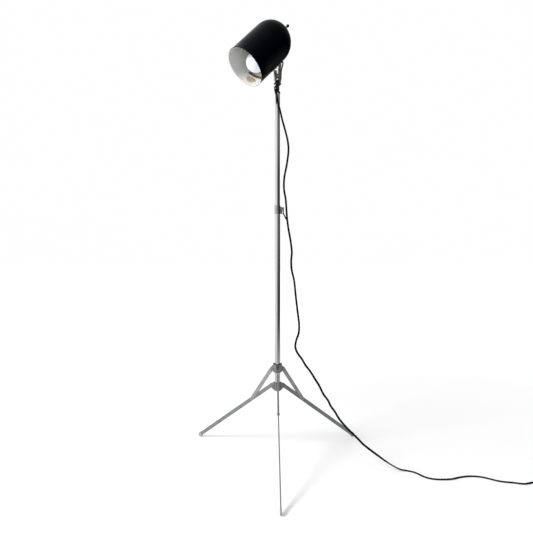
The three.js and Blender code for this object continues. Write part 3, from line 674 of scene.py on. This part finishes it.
refined("switch_body", PLASTIC, 0.2, 2)
refined("switch_nut", CHROME, 0.15, 2)
pivot = DOME + toward(39.6) * 69
LEVER = along(pivot, toward(27.6))
turned(
    "switch_stem_finish", [(0, -1.2), (0.6, -1.04), (1.04, -0.6), (1.2, 0), (1.04, 0.55),
    (0.9, 0.9), (0.9, 8.4), (0, 8.4)], LEVER, CHROME, "switch_lever", ["switch_stem"],
    32
)
KNOB_R = 5.25
KNOB_REACH = 10.5
ball = [
    (KNOB_R * math.sin(math.radians(a)),
    KNOB_REACH - KNOB_R * math.cos(math.radians(a))) for a in range(9, 180, 9)
]
ball = [(0, KNOB_REACH - KNOB_R)] + ball + [(0, KNOB_REACH + KNOB_R)]
turned("switch_ball", ball, LEVER, PLASTIC, "switch_lever", ["switch_knob"], 48)
refined("shade_label", LABEL, 0.12, 2)
# the brownish band on the inner wall below the bulb
refined("rating_strip", BROWN_BAND, 0.12, 2)

# ---------------------------------------------------------------- stage
FLOOR, nt, b = material("floor", (0.9, 0.9, 0.9), 0, 0.6)
b.inputs["Emission Color"].default_value = (1, 1, 1, 1)
FLOOR_GLOW = (0.22, 0.66)  # under the lamp, and far away where the lights fade
tc = nt.nodes.new("ShaderNodeTexCoord")
far = nt.nodes.new("ShaderNodeVectorMath")
far.operation = "LENGTH"
nt.links.new(tc.outputs["Object"], far.inputs[0])
fade = remap(nt, far.outputs["Value"], (0.3, 3.5), FLOOR_GLOW)
nt.links.new(fade, b.inputs["Emission Strength"])
nt.links.new(
    ramp(nt, noise(nt, 2.0), [(0.3, (0.88, 0.88, 0.88)), (0.7, (0.9, 0.9, 0.9))]),
    b.inputs["Base Color"]
)
me = bpy.data.meshes.new("floor")
me.from_pydata(
    [(-40, -6, -0.0005), (40, -6, -0.0005), (40, 60, -0.0005), (-40, 60, -0.0005)], [],
    [(0, 1, 2, 3)]
)
me.materials.append(FLOOR)
floor = bpy.data.objects.new("floor", me)
bpy.context.collection.objects.link(floor)
floor.visible_glossy = False

world = bpy.data.worlds.new("studio")
bpy.context.scene.world = world
world.use_nodes = True
nt = world.node_tree
bg = nt.nodes["Background"]
tc = nt.nodes.new("ShaderNodeTexCoord")
sep = nt.nodes.new("ShaderNodeSeparateXYZ")
nt.links.new(tc.outputs["Generated"], sep.inputs["Vector"])
# bright on the left, dark on the right
WORLD_GAIN = 1.25
BACKDROP = 0.994
greys = [(0.0, 0.86), (0.14, 0.72), (0.36, 0.42), (0.5, 0.24), (0.7, 0.10), (0.86, 0.035), (1.0, 0.012)]
across = remap(nt, sep.outputs["X"], (-1, 1))
room = ramp(nt, across, [(p, (v, v, v * 1.02)) for p, v in greys])
# the pale floor's glow from below and the ceiling's from above
glow = remap(nt, sep.outputs["Z"], (0.02, -0.22), (0, 0.75))
low = mixed(nt, glow, room, (0.55, 0.55, 0.55, 1))
lift = remap(nt, sep.outputs["Z"], (0.25, 1), (0, 0.2))
lit = mixed(nt, 1, low, lift, "ADD")
# the camera sees a plain pale backdrop
camera_ray = nt.nodes.new("ShaderNodeLightPath").outputs["Is Camera Ray"]
grey = BACKDROP / WORLD_GAIN
nt.links.new(mixed(nt, camera_ray, lit, (grey, grey, grey, 1)), bg.inputs["Color"])
bg.inputs["Strength"].default_value = WORLD_GAIN


def softbox(name, at, target, size, power):
    light = bpy.data.lights.new(name, "AREA")
    light.shape = "RECTANGLE"
    light.size, light.size_y = size
    light.energy = power
    o = bpy.data.objects.new(name, light)
    bpy.context.collection.objects.link(o)
    o.location = at
    o.visible_glossy = False
    o.rotation_euler = (Vector(target) - Vector(at)).to_track_quat("-Z", "Y").to_euler()
    return o


softbox("key", (-1.8, -1.0, 2.0), (-0.05, 0.1, 1.2), (0.8, 0.9), 60)
softbox("fill", (1.9, -1.9, 1.4), (0, 0.1, 0.7), (0.9, 1.4), 3)
softbox("low", (-0.9, -1.9, 0.5), (-0.05, 0.1, 1.35), (0.7, 0.5), 3)
bpy.context.scene.view_settings.view_transform = "Standard"
